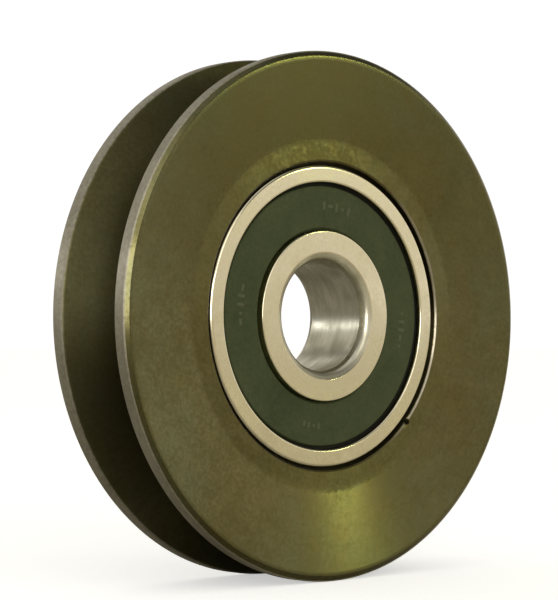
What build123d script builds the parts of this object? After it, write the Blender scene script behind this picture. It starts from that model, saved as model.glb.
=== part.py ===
from build123d import *
from math import radians, tan
import os

os.makedirs("parts", exist_ok=True)

# Belt tensioner idler: a turned steel V-belt pulley pressed onto a sealed ball bearing.
#
# Millimetres, +Z up. The origin is the centre of the bearing. The wheel stands upright and
# spins about Y, and its front faces -Y. Front and rear are alike, so a turned section is
# drawn on Plane.XY, with x as the radius and y as the distance from the middle plane.
# It is drawn for the rear half, and mirrored about the middle plane for the front half.

# ---------------------------------------------------------------- driving dimensions
# Bearing envelope: 17 x 47 x 14, dimension series 03
shaft_bore_diameter = 17.0
bearing_diameter = 47.0
bearing_width = 14.0
bore_corner_radius = 1.45
bearing_corner_radius = 0.6
ring_edge_break = 0.3

# Balls and raceways
ball_count = 7
ball_diameter = 8.731
ball_clearance = 0.02
raceway_depth = 1.62
inner_conformity = 0.52
outer_conformity = 0.53
first_ball_angle = 90.0

# Ball cage: two pressed ribbons and their rivets
cage_sheet = 0.55
cage_ribbon_width = 3.4
cage_pocket_clearance = 0.10
rivet_shank_diameter = 1.3
rivet_head_diameter = 2.3
rivet_head_height = 0.45
rivet_head_round = 0.3

# Seals: a moulded rubber ring on a pressed steel insert
outer_ring_rim = 2.75
seal_seat_depth = 1.75
seal_groove_width = 0.7
seal_groove_bite = 0.4
seal_recess = 0.65
seal_face_gap_outer = 0.65
seal_face_gap_inner = 0.5
seal_edge_round = 0.2
seal_moat_depth = 0.6
seal_moat_slope = 0.2
lip_clearance = 0.05
lip_height = 0.33
insert_sheet = 0.4
insert_lift = 0.17
insert_inner_margin = 1.05
insert_outer_margin = 0.6

# Pulley
pulley_diameter = 81.8
pulley_width = 17.9
hub_stand = 0.25
hub_land_width = 3.5
hub_bore_chamfer = 0.7
rim_flat_width = 1.7
rim_chamfer_across = 0.8
rim_chamfer_along = 0.55
groove_top_width = 12.6
groove_angle = 36.0
groove_depth = 11.4
groove_lip_round = 0.6
groove_floor_round = 1.5

# ---------------------------------------------------------------- worked-out places
shaft_bore_radius = shaft_bore_diameter / 2
bearing_radius = bearing_diameter / 2
half_bearing = bearing_width / 2
ball_radius = ball_diameter / 2
pitch_radius = (shaft_bore_radius + bearing_radius) / 2

inner_race_radius = pitch_radius - ball_radius - ball_clearance
outer_race_radius = pitch_radius + ball_radius + ball_clearance
inner_shoulder_radius = inner_race_radius + raceway_depth
outer_shoulder_radius = outer_race_radius - raceway_depth
inner_groove_radius = inner_conformity * ball_diameter
outer_groove_radius = outer_conformity * ball_diameter

recess_radius = bearing_radius - outer_ring_rim
seal_groove_radius = recess_radius + seal_groove_bite
seal_seat_y = half_bearing - seal_seat_depth
seal_groove_y = seal_seat_y + seal_groove_width

ball_pitch = 360 / ball_count

# ---------------------------------------------------------------- bearing rings
# Outer ring: ball raceway in the bore, and at each side a recess with a groove that the
# bead of the seal snaps into.
with BuildPart() as outer_ring:
    with BuildSketch(Plane.XY):
        with BuildLine():
            Polyline(
                (bearing_radius, 0),
                (bearing_radius, half_bearing),
                (recess_radius, half_bearing),
                (recess_radius, seal_groove_y),
                (seal_groove_radius, seal_groove_y),
                (seal_groove_radius, seal_seat_y),
                (outer_shoulder_radius, seal_seat_y),
                (outer_shoulder_radius, 0),
            )
            mirror(about=Plane.XZ)
        make_face()
        ring_faces = vertices().group_by(Axis.Y)[0] + vertices().group_by(Axis.Y)[-1]
        outside_corners = ring_faces.group_by(Axis.X)[-1]
        recess_corners = ring_faces.group_by(Axis.X)[0]
        fillet(outside_corners, bearing_corner_radius)
        chamfer(recess_corners, ring_edge_break)
        with Locations((outer_race_radius - outer_groove_radius, 0)):
            Circle(outer_groove_radius, mode=Mode.SUBTRACT)
    revolve(axis=Axis.Y)
outer_ring.part.label = "outer_ring"
export_step(outer_ring.part, "parts/outer_ring.step")

# Inner ring: ball raceway on the outside, round corners at the mouths of the shaft bore.
with BuildPart() as inner_ring:
    with BuildSketch(Plane.XY):
        with Locations(((shaft_bore_radius + inner_shoulder_radius) / 2, 0)):
            Rectangle(inner_shoulder_radius - shaft_bore_radius, bearing_width)
        fillet(vertices().group_by(Axis.X)[0], bore_corner_radius)
        chamfer(vertices().group_by(Axis.X)[-1], ring_edge_break)
        with Locations((inner_race_radius + inner_groove_radius, 0)):
            Circle(inner_groove_radius, mode=Mode.SUBTRACT)
    revolve(axis=Axis.Y)
inner_ring.part.label = "inner_ring"
export_step(inner_ring.part, "parts/inner_ring.step")

# ---------------------------------------------------------------- balls
for index in range(ball_count):
    ball_angle = first_ball_angle + index * ball_pitch
    with BuildPart(Plane.XZ) as ball:
        with PolarLocations(pitch_radius, 1, start_angle=ball_angle):
            Sphere(ball_radius)
    ball.part.label = f"ball_{index + 1}"
    export_step(ball.part, f"parts/ball_{index + 1}.step")

# ---------------------------------------------------------------- ball cage
pocket_inner_radius = ball_radius + cage_pocket_clearance
pocket_outer_radius = pocket_inner_radius + cage_sheet
cage_inner_radius = pitch_radius - cage_ribbon_width / 2
cage_outer_radius = pitch_radius + cage_ribbon_width / 2
first_rivet_angle = first_ball_angle + ball_pitch / 2

# One half: a flat ring that lies on the middle plane, domed outwards over every ball.
with BuildPart(Plane.XZ) as cage_front_half:
    with PolarLocations(pitch_radius, ball_count, start_angle=first_ball_angle):
        Sphere(pocket_outer_radius)
    with BuildSketch(Plane.XZ):
        Circle(cage_outer_radius)
        Circle(cage_inner_radius, mode=Mode.SUBTRACT)
    extrude(amount=pocket_outer_radius, mode=Mode.INTERSECT)
    with BuildSketch(Plane.XZ):
        Circle(cage_outer_radius)
        Circle(cage_inner_radius, mode=Mode.SUBTRACT)
    extrude(amount=cage_sheet)
    with PolarLocations(pitch_radius, ball_count, start_angle=first_ball_angle):
        Sphere(pocket_inner_radius, mode=Mode.SUBTRACT)
    with BuildSketch(Plane.XZ):
        with PolarLocations(pitch_radius, ball_count, start_angle=first_rivet_angle):
            Circle(rivet_shank_diameter / 2)
    extrude(amount=cage_sheet, mode=Mode.SUBTRACT)
cage_front_half.part.label = "cage_front_half"
export_step(cage_front_half.part, "parts/cage_front_half.step")

with BuildPart() as cage_rear_half:
    mirror(cage_front_half.part, about=Plane.XZ)
cage_rear_half.part.label = "cage_rear_half"
export_step(cage_rear_half.part, "parts/cage_rear_half.step")

# Rivets: one between each pair of pockets, a shank through both ribbons with a head outside.
with BuildPart() as cage_rivets:
    for side in (1, -1):
        with BuildSketch(Plane.XZ.offset(side * cage_sheet)):
            with PolarLocations(pitch_radius, ball_count, start_angle=first_rivet_angle):
                Circle(rivet_head_diameter / 2)
        extrude(amount=side * rivet_head_height)
        head_ends = edges().group_by(Axis.Y)[0 if side == 1 else -1]
        fillet(head_ends, rivet_head_round)
    with BuildSketch(Plane.XZ):
        with PolarLocations(pitch_radius, ball_count, start_angle=first_rivet_angle):
            Circle(rivet_shank_diameter / 2)
    extrude(amount=cage_sheet, both=True)
cage_rivets.part.label = "cage_rivets"
export_step(cage_rivets.part, "parts/cage_rivets.step")

# ---------------------------------------------------------------- seals
insert_y = seal_seat_y + insert_lift
insert_top_y = insert_y + insert_sheet
insert_inner_radius = inner_shoulder_radius + insert_inner_margin
insert_outer_radius = recess_radius - insert_outer_margin
insert_rim_radius = insert_outer_radius - insert_sheet

# Steel insert: a flat pressed washer whose turned-in rim stands on the seat in the outer ring.
with BuildPart() as rear_seal_insert:
    with BuildSketch(Plane.XY):
        with BuildLine():
            Polyline(
                (insert_inner_radius, insert_y),
                (insert_inner_radius, insert_top_y),
                (insert_outer_radius, insert_top_y),
                (insert_outer_radius, seal_seat_y),
                (insert_rim_radius, seal_seat_y),
                (insert_rim_radius, insert_y),
                close=True,
            )
        make_face()
    revolve(axis=Axis.Y)
rear_seal_insert.part.label = "rear_seal_insert"
export_step(rear_seal_insert.part, "parts/rear_seal_insert.step")

# Rubber: covers the outside of the insert. Its bead fills the groove in the outer ring, and
# its lip runs just off the inner ring's shoulder. A moat separates face and bead.
face_y = half_bearing - seal_recess
moat_y = face_y - seal_moat_depth
face_outer_radius = recess_radius - seal_face_gap_outer
face_inner_radius = inner_shoulder_radius + seal_face_gap_inner
lip_radius = inner_shoulder_radius + lip_clearance
moat_floor_radius = face_outer_radius + seal_moat_slope
bead_slope = (seal_groove_y - moat_y) / 2
with BuildPart() as rear_seal_rubber:
    with BuildSketch(Plane.XY):
        with BuildLine():
            Polyline(
                (lip_radius, insert_y),
                (lip_radius, insert_y + lip_height),
                (face_inner_radius, face_y),
                (face_outer_radius, face_y),
                (moat_floor_radius, moat_y),
                (recess_radius - bead_slope, moat_y),
                (recess_radius + bead_slope, seal_groove_y),
                (seal_groove_radius, seal_groove_y),
                (seal_groove_radius, seal_seat_y),
                (insert_rim_radius, seal_seat_y),
                (insert_rim_radius, insert_y),
                close=True,
            )
        make_face()
        fillet(vertices().group_by(Axis.Y)[-1], seal_edge_round)
    revolve(axis=Axis.Y)
    add(rear_seal_insert.part, mode=Mode.SUBTRACT)
rear_seal_rubber.part.label = "rear_seal_rubber"
export_step(rear_seal_rubber.part, "parts/rear_seal_rubber.step")

with BuildPart() as front_seal_insert:
    mirror(rear_seal_insert.part, about=Plane.XZ)
front_seal_insert.part.label = "front_seal_insert"
export_step(front_seal_insert.part, "parts/front_seal_insert.step")

with BuildPart() as front_seal_rubber:
    mirror(rear_seal_rubber.part, about=Plane.XZ)
front_seal_rubber.part.label = "front_seal_rubber"
export_step(front_seal_rubber.part, "parts/front_seal_rubber.step")

# ---------------------------------------------------------------- pulley
hub_bore_radius = bearing_radius
pulley_radius = pulley_diameter / 2
half_pulley = pulley_width / 2
half_hub = half_bearing + hub_stand
land_radius = hub_bore_radius + hub_land_width
rim_flat_radius = pulley_radius - rim_flat_width
groove_floor_radius = pulley_radius - groove_depth
half_groove_top = groove_top_width / 2
half_groove_floor = half_groove_top - groove_depth * tan(radians(groove_angle / 2))

# One turned piece. The hub land stands a little proud of the bearing, and the side rises
# from it as a shallow cone to the rim, whose outer corner is chamfered. The groove's flanks
# lean at half the groove angle, and its lips are rounded for the belt.
with BuildPart() as pulley_body:
    with BuildSketch(Plane.XY):
        with BuildLine():
            Polyline(
                (hub_bore_radius, 0),
                (hub_bore_radius, half_hub - hub_bore_chamfer),
                (hub_bore_radius + hub_bore_chamfer, half_hub),
                (land_radius, half_hub),
                (rim_flat_radius, half_pulley),
                (pulley_radius - rim_chamfer_across, half_pulley),
                (pulley_radius, half_pulley - rim_chamfer_along),
                (pulley_radius, half_groove_top),
                (groove_floor_radius, half_groove_floor),
                (groove_floor_radius, 0),
            )
            mirror(about=Plane.XZ)
        make_face()
        rim_vertices = vertices().group_by(Axis.X)[-1].sort_by(Axis.Y)
        fillet(rim_vertices[1:3], groove_lip_round)
        floor_corners = [
            vertices().sort_by_distance((groove_floor_radius, side * half_groove_floor))[0]
            for side in (1, -1)
        ]
        fillet(floor_corners, groove_floor_round)
    revolve(axis=Axis.Y)
pulley_body.part.label = "pulley_body"
export_step(pulley_body.part, "parts/pulley_body.step")
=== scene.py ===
import math

import bpy
import numpy as np
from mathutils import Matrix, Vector


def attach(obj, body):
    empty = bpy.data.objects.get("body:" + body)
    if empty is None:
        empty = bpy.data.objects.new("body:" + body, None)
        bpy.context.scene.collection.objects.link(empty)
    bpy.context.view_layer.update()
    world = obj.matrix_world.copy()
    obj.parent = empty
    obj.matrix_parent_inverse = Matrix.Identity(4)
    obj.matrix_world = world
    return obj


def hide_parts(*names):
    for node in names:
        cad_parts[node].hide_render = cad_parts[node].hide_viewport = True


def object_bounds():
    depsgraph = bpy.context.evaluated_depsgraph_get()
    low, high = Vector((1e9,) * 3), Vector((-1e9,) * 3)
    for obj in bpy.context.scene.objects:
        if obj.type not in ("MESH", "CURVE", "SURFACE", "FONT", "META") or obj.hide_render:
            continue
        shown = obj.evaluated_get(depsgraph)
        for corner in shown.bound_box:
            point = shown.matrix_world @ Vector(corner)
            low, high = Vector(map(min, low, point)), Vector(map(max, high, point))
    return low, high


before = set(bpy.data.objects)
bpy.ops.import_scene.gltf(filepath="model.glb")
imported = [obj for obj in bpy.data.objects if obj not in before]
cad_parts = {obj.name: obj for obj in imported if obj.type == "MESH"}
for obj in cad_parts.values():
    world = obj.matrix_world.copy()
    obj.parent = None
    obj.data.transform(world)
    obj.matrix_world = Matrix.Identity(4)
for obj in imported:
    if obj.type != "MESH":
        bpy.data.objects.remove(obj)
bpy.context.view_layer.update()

# ------------------------------------------------------------------ inner ring
# The inner ring of the ball bearing, which the bolt clamps and which stands still. It is
# bearing steel, turned, hardened and then ground: fine concentric marks on the two faces,
# finer ones along the bore, and large rounded corners where the bolt goes in.


def rounded_section(corners, steps=7, margin=0.03):
    """Closed section through corners, rows of (radius, y, corner round), in millimetres.

    A corner is cut back along both of its sides by round / tan(half its angle), and
    `steps` points run along the circle that touches both sides there: centre + (start
    direction * sin((1 - t) w) + end direction * sin(t w)) / sin w. One more point stands
    `margin` before and after each arc, so that flats are shaded flat up to their edge.
    """
    place = corners[:, :2]
    size = corners[:, 2:]
    back = np.roll(place, 1, axis=0) - place
    ahead = np.roll(place, -1, axis=0) - place
    back /= np.linalg.norm(back, axis=1, keepdims=True)
    ahead /= np.linalg.norm(ahead, axis=1, keepdims=True)
    half = np.arccos(np.sum(back * ahead, axis=1, keepdims=True)) / 2
    cut = size / np.tan(half)
    middle = back + ahead
    middle /= np.linalg.norm(middle, axis=1, keepdims=True)
    centre = place + middle * size / np.sin(half)
    start = place + back * cut - centre
    end = place + ahead * cut - centre
    sweep = (math.pi - 2 * half)[:, None]
    t = np.linspace(0, 1, steps)[None, :, None]
    arc = start[:, None] * np.sin((1 - t) * sweep) + end[:, None] * np.sin(t * sweep)
    arc = centre[:, None] + arc / np.sin(sweep)
    before = (place + back * (cut + margin))[:, None]
    after = (place + ahead * (cut + margin))[:, None]
    return np.concatenate([before, arc, after], axis=1).reshape(-1, 2)


def both_sides(rear_half):
    """Corners of the rear half, from large radius to small, and the same mirrored in y."""
    return np.vstack([rear_half, rear_half[::-1] * (1, -1, 1)])


def denser(section, low, high, step):
    """The same closed section, with a point every `step` where its radius is low to high."""
    loop = np.vstack([section, section[:1]])
    along = np.append(0, np.cumsum(np.hypot(*np.diff(loop, axis=0).T)))
    extra = np.arange(0, along[-1], step)
    radius = np.interp(extra, along, loop[:, 0])
    extra = extra[(radius > low) & (radius < high)]
    stops = np.union1d(along[:-1], extra)
    return np.column_stack([np.interp(stops, along, column) for column in loop.T])


def turned(name, section, turns, push=None):
    """A closed section turned about the Y axis: (radius cos a, y, radius sin a).

    The grid has the section's points one way and `turns` angles the other, and both ways
    it closes on itself. `push`, where given, is a function of (radius, y, angle) that says
    how far the section's y moves there, in millimetres.
    """
    angle = np.linspace(0, 2 * math.pi, turns, endpoint=False)
    radius, y = section[:, :1], section[:, 1:]
    shifted = y + (push(radius, y, angle) if push else 0 * angle)
    grid = np.stack([radius * np.cos(angle), shifted, radius * np.sin(angle)], axis=-1)
    number = np.arange(len(section) * turns).reshape(len(section), turns)
    below = np.roll(number, -1, axis=0)
    quads = np.stack(
        [number, below, np.roll(below, -1, axis=1), np.roll(number, -1, axis=1)], axis=-1
    )
    mesh = bpy.data.meshes.new(name)
    mesh.from_pydata(grid.reshape(-1, 3) * 0.001, [], quads.reshape(-1, 4))
    mesh.polygons.foreach_set("use_smooth", np.ones(len(mesh.polygons), bool))
    mesh.update()
    piece = bpy.data.objects.new(name, mesh)
    bpy.context.scene.collection.objects.link(piece)
    return piece


def connect(tree, node, inputs):
    """Sets or links a node's inputs, by name or number."""
    for key, value in inputs.items():
        if isinstance(value, bpy.types.NodeSocket):
            tree.links.new(value, node.inputs[key])
        else:
            node.inputs[key].default_value = value
    return node


def add(tree, kind, inputs=None, **settings):
    """Adds a shader node, with its settings and its inputs."""
    made = tree.nodes.new("ShaderNode" + kind)
    for key, value in settings.items():
        setattr(made, key, value)
    return connect(tree, made, inputs or {})


def sums(tree, operation, *terms, clamp=False):
    """The result of a Math node."""
    made = add(tree, "Math", dict(enumerate(terms)), operation=operation, use_clamp=clamp)
    return made.outputs[0]


def plus(tree, first, second, share, clamp=False):
    """First + second * share."""
    return sums(tree, "ADD", first, sums(tree, "MULTIPLY", second, share), clamp=clamp)


def less_half(tree, value):
    """A mask or a noise that lies about 0.5, made to lie about 0."""
    return sums(tree, "SUBTRACT", value, 0.5)


def tint(tree, factor, low, high):
    """A colour between low and high, each a plain colour or the output of another node."""
    low, high = ((*end, 1) if isinstance(end, tuple) else end for end in (low, high))
    return add(tree, "Mix", {"Factor": factor, 6: low, 7: high}, data_type="RGBA").outputs[2]


def noise(tree, place, scale, detail, distortion=0.0):
    """Noise of a place, which lies about 0.5."""
    inputs = {"Vector": place, "Scale": scale, "Detail": detail, "Distortion": distortion}
    return add(tree, "TexNoise", inputs).outputs[0]


def from_axis(tree, place):
    """How far a place is from the Y axis, and its y."""
    x, y, z = add(tree, "SeparateXYZ", {0: place}).outputs
    squares = sums(tree, "ADD", sums(tree, "MULTIPLY", x, x), sums(tree, "MULTIPLY", z, z))
    return sums(tree, "SQRT", squares), y


def remapped(tree, value, low, high, to_low, to_high):
    """A value carried smoothly from the range low..high to to_low..to_high."""
    ends = {0: value, 1: low, 2: high, 3: to_low, 4: to_high}
    made = add(tree, "MapRange", ends, interpolation_type="SMOOTHSTEP")
    return made.outputs[0]


def group(name, inputs, outputs):
    """An empty shader node group with those sockets, its input node and its output node."""
    tree = bpy.data.node_groups.new(name, "ShaderNodeTree")
    for label, kind in inputs.items():
        tree.interface.new_socket(label, in_out="INPUT", socket_type="NodeSocket" + kind)
    for label, kind in outputs.items():
        tree.interface.new_socket(label, in_out="OUTPUT", socket_type="NodeSocket" + kind)
    given = tree.nodes.new("NodeGroupInput")
    result = tree.nodes.new("NodeGroupOutput")
    return tree, given.outputs, result.inputs


def use(tree, group_tree, **values):
    """Places a node group in a material, and gives its outputs."""
    made = tree.nodes.new("ShaderNodeGroup")
    made.node_tree = group_tree
    return connect(tree, made, values).outputs


def finish(name, **uniform):
    """A material with its Principled shader, whose uniform values are set on its sockets."""
    material = bpy.data.materials.new(name)
    material.use_nodes = True
    tree = material.node_tree
    shader = tree.nodes["Principled BSDF"]
    for key, value in uniform.items():
        shader.inputs[key.replace("_", " ")].default_value = value
    where = add(tree, "TexCoord").outputs["Object"]
    return material, tree, shader, where


# Tool marks: what a lathe or a grinding wheel leaves on a turned piece. Noise of (radius, y)
# alone, so each mark is a ring round the Y axis, faded in and out by slower noise.
marks_tree, given, result = group(
    "tool marks",
    {"Place": "Vector", "Pitch": "Float", "Patch": "Float"},
    {"Height": "Float"},
)
across, y = from_axis(marks_tree, given["Place"])
section_place = add(marks_tree, "CombineXYZ", {0: across, 1: y}).outputs[0]
rings = noise(marks_tree, section_place, sums(marks_tree, "DIVIDE", 1.0, given["Pitch"]), 3.0)
patches = noise(marks_tree, given["Place"], given["Patch"], 2.0)
fading = remapped(marks_tree, patches, 0.35, 0.65, 0.35, 1.0)
height = sums(marks_tree, "MULTIPLY", less_half(marks_tree, rings), fading)
marks_tree.links.new(height, result["Height"])

# Blotches: stains, oil film and handling on metal and rubber, in two sizes of noise.
blotch_tree, given, result = group(
    "blotches",
    {"Place": "Vector", "Scale": "Float", "Contrast": "Float"},
    {"Mask": "Float"},
)
large = noise(blotch_tree, given["Place"], given["Scale"], 4.0, 0.6)
small_scale = sums(blotch_tree, "MULTIPLY", given["Scale"], 6.0)
small = noise(blotch_tree, given["Place"], small_scale, 3.0)
both = plus(blotch_tree, sums(blotch_tree, "MULTIPLY", large, 0.65), small, 0.35)
swing = sums(blotch_tree, "MULTIPLY", less_half(blotch_tree, both), given["Contrast"])
blotch_tree.links.new(
    sums(blotch_tree, "ADD", swing, 0.5, clamp=True), result["Mask"]
)

# Edge ring: a soft band round the piece at one radius and one distance from the middle
# plane, broken up by noise, for the bright edge of the pulley's bore, partly bare steel and
# partly a painted highlight.
edge_tree, given, result = group(
    "edge ring",
    {"Place": "Vector", "Radius": "Float", "Side": "Float", "Width": "Float"},
    {"Mask": "Float"},
)
across, y = from_axis(edge_tree, given["Place"])
off_radius = sums(edge_tree, "SUBTRACT", across, given["Radius"])
off_side = sums(edge_tree, "SUBTRACT", sums(edge_tree, "ABSOLUTE", y), given["Side"])
squares = sums(
    edge_tree,
    "ADD",
    sums(edge_tree, "MULTIPLY", off_radius, off_radius),
    sums(edge_tree, "MULTIPLY", off_side, off_side),
)
away = sums(edge_tree, "SQRT", squares)
ragged = noise(edge_tree, given["Place"], 900.0, 4.0)
share = sums(edge_tree, "DIVIDE", away, given["Width"])
share = sums(edge_tree, "ADD", share, less_half(edge_tree, ragged))
edge_tree.links.new(remapped(edge_tree, share, 0.35, 1.1, 1.0, 0.0), result["Mask"])

half_bearing = 7.0
bore_radius = 8.5
inner_shoulder = 13.2345
inner_race_radius = 11.6145
inner_groove_radius = 4.5401
inner_centre = inner_race_radius + inner_groove_radius
reach_angle = math.acos((inner_centre - inner_shoulder) / inner_groove_radius)
sweep = np.linspace(reach_angle, -reach_angle, 25)
raceway = np.column_stack(
    [
        inner_centre - inner_groove_radius * np.cos(sweep),
        inner_groove_radius * np.sin(sweep),
    ]
)
inner_half = np.array(
    [
        (inner_shoulder, half_bearing, 0.2),
        (bore_radius + 1.45, half_bearing, 0.08),
        (8.925, 6.575, 1.2),
        (bore_radius, half_bearing - 1.45, 0.3),
    ]
)
corners = rounded_section(both_sides(inner_half), steps=8)
# The corners start at the rear shoulder, and the raceway closes the section behind them.
inner_ring = turned("inner_ring_ground", np.vstack([corners, raceway[::-1]]), 480)

# Rim: 1 outside one radius, 0 inside it, with a ragged limit. It tells a land, a bore or a
# chamfer from the face beside it.
rim_tree, given, result = group(
    "rim",
    {"Place": "Vector", "Radius": "Float", "Fade": "Float"},
    {"Mask": "Float"},
)
across, y = from_axis(rim_tree, given["Place"])
ragged = noise(rim_tree, given["Place"], 700.0, 4.0)
beyond = sums(rim_tree, "SUBTRACT", across, given["Radius"])
beyond = sums(rim_tree, "DIVIDE", beyond, given["Fade"])
beyond = sums(rim_tree, "ADD", beyond, less_half(rim_tree, ragged))
rim_tree.links.new(remapped(rim_tree, beyond, 0.0, 1.0, 0.0, 1.0), result["Mask"])

# Scuffs: short marks that run round the Y axis along a bore. Noise of the place, drawn out
# by a scale that is large along Y and small across it.
scuff_tree, given, result = group(
    "scuffs", {"Place": "Vector", "Round": "Float", "Along": "Float"}, {"Mask": "Float"}
)
stretch = {0: given["Round"], 1: given["Along"], 2: given["Round"]}
stretch = add(scuff_tree, "CombineXYZ", stretch).outputs[0]
drawn_out = add(
    scuff_tree, "VectorMath", {0: given["Place"], 1: stretch}, operation="MULTIPLY"
).outputs["Vector"]
grain = noise(scuff_tree, drawn_out, 1.0, 4.0)
scuff_tree.links.new(remapped(scuff_tree, grain, 0.3, 0.7, 0.0, 1.0), result["Mask"])

ring_steel, tree, shader, where = finish("ring_steel_ground", Metallic=1.0)
marks = use(tree, marks_tree, Place=where, Pitch=0.00035, Patch=60.0)
fine_marks = use(tree, marks_tree, Place=where, Pitch=0.00009, Patch=240.0)
stain = use(tree, blotch_tree, Place=where, Scale=130.0, Contrast=2.6)["Mask"]
grain = noise(tree, where, 2400.0, 3.0)
shade = plus(tree, stain, marks["Height"], 0.7)
shade = plus(tree, shade, less_half(tree, grain), 1.1, clamp=True)
face_colour = tint(tree, shade, (0.690, 0.625, 0.455), (0.840, 0.775, 0.590))
# The bore is greyer and duller than the faces, with scuffs and stains from the bolt.
wall = use(tree, rim_tree, Place=where, Radius=0.0097, Fade=0.0002)["Mask"]
scuffs = use(tree, scuff_tree, Place=where, Round=110.0, Along=1300.0)["Mask"]
smears = use(tree, scuff_tree, Place=where, Round=260.0, Along=380.0)["Mask"]
worn = plus(tree, sums(tree, "MULTIPLY", scuffs, 0.3), smears, 0.7)
bore_colour = tint(tree, worn, (0.42, 0.40, 0.30), (0.70, 0.675, 0.57))
tree.links.new(tint(tree, wall, bore_colour, face_colour), shader.inputs["Base Color"])
face_gloss = remapped(tree, shade, 0.2, 0.8, 0.16, 0.10)
bore_gloss = remapped(tree, worn, 0.1, 0.9, 0.36, 0.26)
gloss = add(tree, "Mix", {"Factor": wall, "A": bore_gloss, "B": face_gloss})
tree.links.new(gloss.outputs[0], shader.inputs["Roughness"])
relief = plus(tree, marks["Height"], fine_marks["Height"], 0.5)
relief = plus(tree, relief, scuffs, sums(tree, "SUBTRACT", 1.0, wall))
bump = add(tree, "Bump", {"Height": relief, "Strength": 0.2, "Distance": 0.00001})
tree.links.new(bump.outputs[0], shader.inputs["Normal"])

inner_ring.data.materials.append(ring_steel)
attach(inner_ring, "inner_ring")
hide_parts("inner_ring")

# ------------------------------------------------------------------ balls
# Seven balls of chrome steel, lapped to a mirror and lightly greased. They run between the
# rings behind the seals, so they are the CAD solids with their own finish.
ball_steel, tree, shader, where = finish("ball_steel_lapped", Metallic=1.0)
film = use(tree, blotch_tree, Place=where, Scale=260.0, Contrast=2.5)["Mask"]
tree.links.new(
    tint(tree, film, (0.60, 0.58, 0.53), (0.72, 0.71, 0.68)), shader.inputs["Base Color"]
)
tree.links.new(remapped(tree, film, 0.2, 0.8, 0.16, 0.06), shader.inputs["Roughness"])
scratches = noise(tree, where, 2600.0, 4.0, 3.0)
bump = add(tree, "Bump", {"Height": scratches, "Strength": 0.1, "Distance": 0.00001})
tree.links.new(bump.outputs[0], shader.inputs["Normal"])

# ------------------------------------------------------------------ ball cage
# Two ribbons pressed from thin steel strip, domed over every ball, and held together by
# seven rivets. Bright rolled strip, with the scuffs of the press tool.


def pressed_strip(name, low, high):
    """Rolled strip steel: long scuffs, oil stains and a satin surface."""
    material, tree, shader, where = finish(name, Metallic=1.0)
    stain = use(tree, blotch_tree, Place=where, Scale=180.0, Contrast=2.6)["Mask"]
    scuffs = use(tree, marks_tree, Place=where, Pitch=0.0002, Patch=300.0)
    shade = sums(tree, "ADD", stain, scuffs["Height"], clamp=True)
    tree.links.new(tint(tree, shade, low, high), shader.inputs["Base Color"])
    tree.links.new(remapped(tree, shade, 0.2, 0.8, 0.5, 0.32), shader.inputs["Roughness"])
    bump = add(
        tree, "Bump", {"Height": scuffs["Height"], "Strength": 0.3, "Distance": 0.00002}
    )
    tree.links.new(bump.outputs[0], shader.inputs["Normal"])
    return material


cage_steel = pressed_strip("cage_steel_pressed", (0.34, 0.32, 0.28), (0.52, 0.50, 0.45))
rivet_steel = pressed_strip("rivet_steel_headed", (0.40, 0.38, 0.34), (0.60, 0.57, 0.52))
insert_steel = pressed_strip("insert_steel_pressed", (0.28, 0.27, 0.25), (0.45, 0.44, 0.41))

hidden_finishes = {
    "ball": ball_steel,
    "cage": cage_steel,
    "cage_rivets": rivet_steel,
    "front_seal_insert": insert_steel,
    "rear_seal_insert": insert_steel,
}
for node_name, node_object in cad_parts.items():
    family = node_name if node_name in hidden_finishes else node_name.split("_")[0]
    if family in hidden_finishes:
        node_object.data.materials.clear()
        node_object.data.materials.append(hidden_finishes[family])

# ------------------------------------------------------------------ outer ring
# The outer ring of the bearing: the same ground steel, 47 mm across, with the ball raceway
# in its bore and, at each side, the recess and the snap groove that hold a seal.
bearing_radius = 23.5
outer_shoulder = 18.7655
outer_race_radius = 20.3855
outer_groove_radius = 4.6274
outer_centre = outer_race_radius - outer_groove_radius
reach_angle = math.acos((outer_shoulder - outer_centre) / outer_groove_radius)
sweep = np.linspace(reach_angle, -reach_angle, 25)
raceway = np.column_stack(
    [
        outer_centre + outer_groove_radius * np.cos(sweep),
        outer_groove_radius * np.sin(sweep),
    ]
)
recess_radius = 20.75
snap_radius = recess_radius + 0.4
seat_y = half_bearing - 1.75
snap_y = seat_y + 0.7
outer_half = np.array(
    [
        (bearing_radius, half_bearing, 0.6),
        (recess_radius, half_bearing, 0.3),
        (recess_radius, snap_y, 0.03),
        (snap_radius, snap_y, 0.03),
        (snap_radius, seat_y, 0.03),
        (outer_shoulder, seat_y, 0.2),
    ]
)
rear_corners, front_corners = np.split(
    rounded_section(both_sides(outer_half), steps=9), 2
)
outer_ring = turned(
    "outer_ring_ground", np.vstack([rear_corners, raceway, front_corners]), 640
)
outer_ring.data.materials.append(ring_steel)
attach(outer_ring, "pulley")
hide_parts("outer_ring")

# ------------------------------------------------------------------ seals
# One seal at each side: black nitrile rubber moulded onto a pressed steel insert, snapped
# into the outer ring. A few small raised bars and dots of the mould stand on its face.
lip_radius = inner_shoulder + 0.05
insert_hole = inner_shoulder + 1.05
insert_rim = recess_radius - 0.6
insert_low = seat_y + 0.17
insert_high = insert_low + 0.4
face_y = half_bearing - 0.65
moat_y = face_y - 0.6
seal_half = np.array(
    [
        (recess_radius - 0.65, face_y, 0.2),
        (inner_shoulder + 0.5, face_y, 0.15),
        (lip_radius, insert_low + 0.33, 0.06),
        (lip_radius, insert_low, 0.04),
        (insert_hole, insert_low, 0.03),
        (insert_hole, insert_high, 0.03),
        (insert_rim, insert_high, 0.03),
        (insert_rim, seat_y, 0.03),
        (snap_radius, seat_y, 0.03),
        (snap_radius, snap_y, 0.03),
        (snap_radius - 0.3, snap_y, 0.05),
        (snap_radius - 0.5, moat_y, 0.05),
        (recess_radius - 0.45, moat_y, 0.05),
    ]
)
seal_section = denser(rounded_section(seal_half, steps=4), 16.3, 17.9, 0.12)
mark_radius = 17.1
mark_height = 0.07
mark_edge = 0.12
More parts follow.
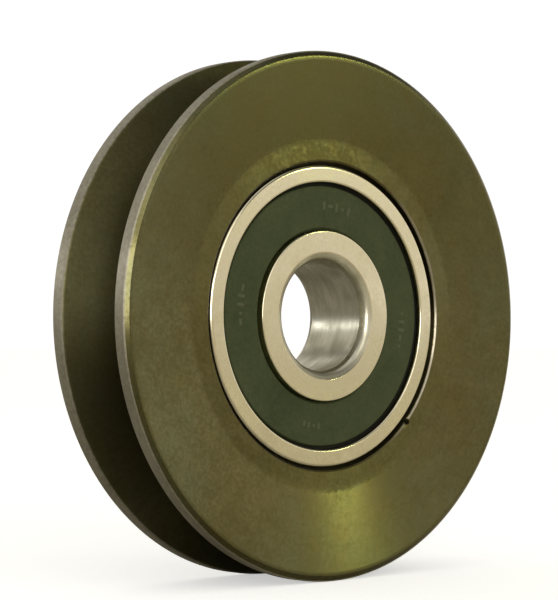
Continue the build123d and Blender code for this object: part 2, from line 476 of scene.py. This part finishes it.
# Each mark is (angle in degrees, width round, length across), the last two in millimetres.
mark_rows = [
    (start + step * spacing, width, length)
    for start, spacing, pattern in (
        (72, 4.4, ((0.35, 1.2), (0.35, 0.35), (0.35, 1.2), (0.9, 0.35), (0.35, 1.2))),
        (166, 4.4, ((0.9, 0.35), (0.35, 1.2), (0.35, 1.2), (0.35, 0.35), (0.9, 0.35))),
        (256, 3.4, ((0.3, 0.8), (0.3, 0.8), (0.3, 0.3), (0.3, 0.8))),
        (344, 4.4, ((0.35, 0.35), (0.9, 0.35), (0.35, 1.2), (0.35, 1.2), (0.35, 0.35))),
    )
    for step, (width, length) in enumerate(pattern)
]


def mould_marks(radius, y, angle):
    """Raised marks on a face: the product of two soft steps, across and along, outwards."""
    lift = np.zeros((len(radius), len(angle)))
    for degrees, width, length in mark_rows:
        turn = (angle - math.radians(degrees) + math.pi) % (2 * math.pi) - math.pi
        inside_round = width / 2 + mark_edge - np.abs(turn) * mark_radius
        inside_across = length / 2 + mark_edge - np.abs(radius - mark_radius)
        soft_round = np.clip(inside_round / mark_edge, 0, 1)
        soft_across = np.clip(inside_across / mark_edge, 0, 1)
        lift = np.maximum(lift, soft_round * soft_across)
    return mark_height * lift * np.sign(y) * (np.abs(y) > face_y - 0.05)


rubber, tree, shader, where = finish(
    "seal_rubber_moulded", Specular_IOR_Level=0.2, Metallic=0.0
)
bloom = use(tree, blotch_tree, Place=where, Scale=150.0, Contrast=2.4)["Mask"]
flow = use(tree, marks_tree, Place=where, Pitch=0.0012, Patch=90.0)
shade = plus(tree, bloom, flow["Height"], 0.5, clamp=True)
speckle = noise(tree, where, 1900.0, 3.0)
shade = plus(tree, shade, less_half(tree, speckle), 1.3, clamp=True)
plain = tint(tree, shade, (0.034, 0.046, 0.018), (0.066, 0.080, 0.036))
# The raised marks are paler than the face, and the gap beside the outer ring is painted
# near-black: painted shade.
height = sums(tree, "ABSOLUTE", add(tree, "SeparateXYZ", {0: where}).outputs[1])
raised = remapped(tree, height, 0.00636, 0.00640, 0.0, 1.0)
marked = tint(tree, raised, plain, (0.085, 0.095, 0.050))
gap_painted_shade = use(tree, rim_tree, Place=where, Radius=0.02018, Fade=0.00012)["Mask"]
tree.links.new(tint(tree, gap_painted_shade, marked, (0.006, 0.006, 0.004)), shader.inputs["Base Color"])
tree.links.new(remapped(tree, shade, 0.2, 0.8, 0.52, 0.68), shader.inputs["Roughness"])
skin = noise(tree, where, 5200.0, 3.0)
relief = sums(tree, "ADD", skin, flow["Height"])
bump = add(tree, "Bump", {"Height": relief, "Strength": 0.35, "Distance": 0.00002})
tree.links.new(bump.outputs[0], shader.inputs["Normal"])

for side, flip in (("rear", 1), ("front", -1)):
    section = seal_section[::flip] * (1, flip)
    seal = turned(f"{side}_seal_moulded", section, 1000, mould_marks)
    seal.data.materials.append(rubber)
    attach(seal, "pulley")
    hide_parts(f"{side}_seal_rubber")

# ------------------------------------------------------------------ pulley
# The V-belt pulley, turned in one piece from steel and pressed over the bearing. Its dark
# olive phosphate finish is worn to bare steel on the rims, where belts and hands touch it.
rim_radius = 40.9
half_pulley = 8.95
half_hub = half_bearing + 0.25
half_mouth = 6.3
floor_radius = rim_radius - 11.4
flank_angle = math.radians(18.0)
half_groove_floor = half_mouth - (rim_radius - floor_radius) * math.tan(flank_angle)
bore_chamfer = 0.7
pulley_half = np.array(
    [
        (floor_radius, half_groove_floor, 1.5),
        (rim_radius, half_mouth, 0.6),
        (rim_radius, half_pulley - 0.55, 0.12),
        (rim_radius - 0.8, half_pulley, 0.12),
        (rim_radius - 1.2, half_pulley, 5.0),
        (bearing_radius + 3.5, half_hub, 8.0),
        (bearing_radius + bore_chamfer, half_hub, 0.08),
        (bearing_radius, half_hub - bore_chamfer, 0.06),
    ]
)
pulley_section = rounded_section(both_sides(pulley_half), steps=7)
pulley_section = denser(pulley_section, 23.6, 25.0, 0.14)
nick_angle = math.radians(-43.781)
nick_radius = 24.15
nick_depth = 0.28
nick_round = 0.7
nick_across = 0.35


def nick(radius, y, angle):
    """A small dent in the front edge of the bore: exp of minus the sum of two squares.

    One is the way round over `nick_round`, the other the way across over `nick_across`.
    """
    turn = (angle - nick_angle + math.pi) % (2 * math.pi) - math.pi
    way_round = turn * (bearing_radius + bore_chamfer) / nick_round
    way_across = (radius - nick_radius) / nick_across
    return nick_depth * np.exp(-(way_round**2) - way_across**2) * (y < -6)


pulley = turned("pulley_turned", pulley_section, 640, nick)

pulley_steel, tree, shader, where = finish(
    "pulley_steel_phosphated", Metallic=1.0, Anisotropic=0.75, Anisotropic_Rotation=0.25
)
marks = use(tree, marks_tree, Place=where, Pitch=0.0006, Patch=50.0)
fine_marks = use(tree, marks_tree, Place=where, Pitch=0.00013, Patch=200.0)
stain = use(tree, blotch_tree, Place=where, Scale=55.0, Contrast=2.6)["Mask"]
speckle = noise(tree, where, 1700.0, 4.0)
shade = plus(tree, stain, marks["Height"], 0.45)
shade = plus(tree, shade, less_half(tree, speckle), 1.7, clamp=True)
green = tint(tree, shade, (0.107, 0.104, 0.046), (0.154, 0.150, 0.076))
brown = tint(tree, shade, (0.112, 0.093, 0.035), (0.163, 0.138, 0.058))
drift = use(tree, blotch_tree, Place=where, Scale=70.0, Contrast=3.0)["Mask"]
outward = use(tree, rim_tree, Place=where, Radius=0.026, Fade=0.016)["Mask"]
drift = plus(tree, drift, outward, 0.5)
drift = sums(tree, "SUBTRACT", drift, 0.25, clamp=True)
olive = tint(tree, drift, brown, green)
sideways, height, upward = add(tree, "SeparateXYZ", {0: where}).outputs
# Deep in the groove the colour is darkened by about a third towards near-black: painted shade
# where the flanks hide each other from the light.
inside = remapped(tree, sums(tree, "ABSOLUTE", height), 0.0060, 0.0068, 1.0, 0.0)
olive = tint(tree, sums(tree, "MULTIPLY", inside, 0.35), olive, (0.03, 0.027, 0.014))
# The finish is worn off the lands of the rims, and the gap round the bearing is painted
# near-black: painted shade.
land = use(tree, rim_tree, Place=where, Radius=0.04064, Fade=0.00012)["Mask"]
bare = tint(tree, shade, (0.31, 0.285, 0.225), (0.46, 0.43, 0.35))
part_worn = tint(tree, land, olive, bare)
not_darkened = use(tree, rim_tree, Place=where, Radius=0.02390, Fade=0.00012)["Mask"]
# The edge of the bore is bare bright steel along one side only, where the front softbox glints:
# partly wear, partly a painted highlight. It stops at a small dent, which is made near-black.
bore_edge_bare_and_glint = use(tree, edge_tree, Place=where, Radius=0.02412, Side=0.00718, Width=0.00022)["Mask"]
glint_side = remapped(tree, sideways, 0.012, 0.021, 0.0, 1.0)
dent_radius = 0.02417
dent_place = (
    dent_radius * math.cos(nick_angle),
    -0.0072,
    dent_radius * math.sin(nick_angle),
)
dent = add(tree, "VectorMath", {0: where, 1: dent_place}, operation="DISTANCE").outputs["Value"]
not_darkened = sums(tree, "MULTIPLY", not_darkened, remapped(tree, dent, 0.0004, 0.0007, 0.0, 1.0))
bore_edge_bare_and_glint = sums(tree, "MULTIPLY", sums(tree, "MULTIPLY", bore_edge_bare_and_glint, not_darkened), glint_side)
colour = tint(tree, not_darkened, (0.008, 0.007, 0.003), part_worn)
colour = tint(tree, bore_edge_bare_and_glint, colour, (0.42, 0.38, 0.31))
tree.links.new(colour, shader.inputs["Base Color"])
# The hub's flat is duller than the face, and the groove and the lands are duller still.
beyond_hub = use(tree, rim_tree, Place=where, Radius=0.0268, Fade=0.0010)["Mask"]
satin = remapped(tree, shade, 0.2, 0.8, 0.24, 0.18)
satin = sums(tree, "MULTIPLY", satin, remapped(tree, beyond_hub, 0.0, 1.0, 1.6, 1.0))
duller = plus(tree, satin, inside, 0.26)
duller = plus(tree, duller, land, 0.35)
tree.links.new(duller, shader.inputs["Roughness"])
relief = plus(tree, marks["Height"], fine_marks["Height"], 0.5)
relief = plus(tree, relief, speckle, 0.6)
bump = add(tree, "Bump", {"Height": relief, "Strength": 0.3, "Distance": 0.00002})
tree.links.new(bump.outputs[0], shader.inputs["Normal"])
tangent = add(tree, "Tangent", direction_type="RADIAL", axis="Y")
tree.links.new(tangent.outputs[0], shader.inputs["Tangent"])

pulley.data.materials.append(pulley_steel)
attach(pulley, "pulley")
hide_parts("pulley_body")

# ------------------------------------------------------------------ floor
# A large sheet of white card that the wheel stands on.
floor_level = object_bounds()[0][2]
floor_mesh = bpy.data.meshes.new("card_floor")
reach = 12.0
square = np.array([(-1, -1, 0), (1, -1, 0), (1, 1, 0), (-1, 1, 0)], float) * reach
floor_mesh.from_pydata(square + (0, 0, floor_level), [], [(0, 1, 2, 3)])
floor = bpy.data.objects.new("card_floor", floor_mesh)
bpy.context.scene.collection.objects.link(floor)
card, tree, shader, where = finish("card", Roughness=0.9, Specular_IOR_Level=0.1)
# Seen in the metal, the card has painted shade behind and under the wheel and painted warm
# light in front of it.
ahead = add(
    tree, "VectorMath", {0: where, 1: (0.667, -0.745, 0.0)}, operation="DOT_PRODUCT"
).outputs["Value"]
painted_light_ahead = remapped(tree, ahead, -0.03, 0.10, 0.0, 1.0)
painted_card_light = tint(tree, painted_light_ahead, (0.42, 0.40, 0.34), (0.86, 0.80, 0.65))
seen = add(tree, "LightPath").outputs["Is Camera Ray"]
pale = tint(tree, seen, painted_card_light, (0.95, 0.95, 0.95))
tree.links.new(pale, shader.inputs["Base Color"])
tree.links.new(seen, shader.inputs["Emission Color"])
shader.inputs["Emission Strength"].default_value = 0.5
floor_mesh.materials.append(card)

# ------------------------------------------------------------------ light
# A pale studio: a light band round the horizon, brightest in front to the right and dim
# behind to the left, a bright ceiling, softboxes, and a small lamp in front to the right,
# which draws the streak down the turned face.
world = bpy.data.worlds.new("studio")
bpy.context.scene.world = world
world.use_nodes = True
tree = world.node_tree
surround = tree.nodes["Background"]
direction = add(tree, "TexCoord").outputs["Generated"]


def toward(azimuth, elevation):
    """The unit vector towards a place: azimuth 0 is in front, and it grows towards +X."""
    a, e = math.radians(azimuth), math.radians(elevation)
    return Vector((math.sin(a) * math.cos(e), -math.cos(a) * math.cos(e), math.sin(e)))


def around(azimuth, elevation, inner, outer):
    """1 within `inner` degrees of a direction, and 0 beyond `outer` degrees."""
    near = add(
        tree,
        "VectorMath",
        {0: direction, 1: toward(azimuth, elevation)},
        operation="DOT_PRODUCT",
    ).outputs["Value"]
    low, high = math.cos(math.radians(outer)), math.cos(math.radians(inner))
    return remapped(tree, near, low, high, 0.0, 1.0)


dim = (0.17, 0.165, 0.15)
upward = add(tree, "SeparateXYZ", {0: direction}).outputs[2]
band = remapped(tree, sums(tree, "ABSOLUTE", upward), 0.28, 0.55, 1.0, 0.0)
not_behind = sums(tree, "SUBTRACT", 1.0, around(-138, 0, 35, 75))
band = sums(tree, "MULTIPLY", band, not_behind)
glow = tint(tree, band, dim, (0.73, 0.68, 0.58))
# Each lobe: azimuth, elevation, where it is full, where it ends, in degrees, and its colour.
lobes = (
    (57, 4, 3, 15, (0.97, 0.94, 0.84)),
    (-153, 29, 9, 26, (0.66, 0.63, 0.54)),
    (-17, 31, 8, 23, (2.2, 2.1, 1.85)),
    (150, 38, 10, 28, (0.75, 0.73, 0.66)),
    (-60, 70, 20, 50, (0.75, 0.74, 0.70)),
)
for azimuth, elevation, inner, outer, lobe_colour in lobes:
    glow = tint(tree, around(azimuth, elevation, inner, outer), glow, lobe_colour)
to_camera = add(tree, "LightPath").outputs["Is Camera Ray"]
tree.links.new(tint(tree, to_camera, glow, (1.05, 1.05, 1.05)), surround.inputs["Color"])


def softbox(name, azimuth, elevation, distance, width, height, radiance, colour):
    """A rectangular lamp, turned to the origin, at that azimuth and elevation."""
    lamp = bpy.data.lights.new(name, "AREA")
    lamp.shape = "RECTANGLE"
    lamp.size, lamp.size_y = width, height
    lamp.energy = radiance * math.pi * width * height
    lamp.color = colour
    holder = bpy.data.objects.new(name, lamp)
    holder.location = toward(azimuth, elevation) * distance
    holder.rotation_euler = toward(azimuth, elevation).to_track_quat("Z", "Y").to_euler()
    bpy.context.scene.collection.objects.link(holder)


softbox("front_softbox", -38, 9, 1.0, 0.50, 0.38, 3.6, (1.0, 0.98, 0.92))
softbox("streak_lamp", 41.9, 13, 1.4, 0.08, 0.20, 15.5, (0.88, 1.0, 0.40))
softbox("rear_strip", -140, 13, 1.2, 0.9, 0.16, 2.6, (1.0, 1.0, 0.98))

# ------------------------------------------------------------------ camera
camera_data = bpy.data.cameras.new("camera")
camera_data.lens = 128.88
camera_data.sensor_width = 36.0
camera_data.clip_start = 0.01
camera = bpy.data.objects.new("camera", camera_data)
camera.location = (-0.22755, -0.25009, -0.00435)
looking = Vector((0.66692, 0.74485, 0.02043))
camera.rotation_euler = looking.to_track_quat("-Z", "Y").to_euler()
bpy.context.scene.collection.objects.link(camera)
bpy.context.scene.camera = camera
bpy.context.scene.view_settings.view_transform = "Standard"
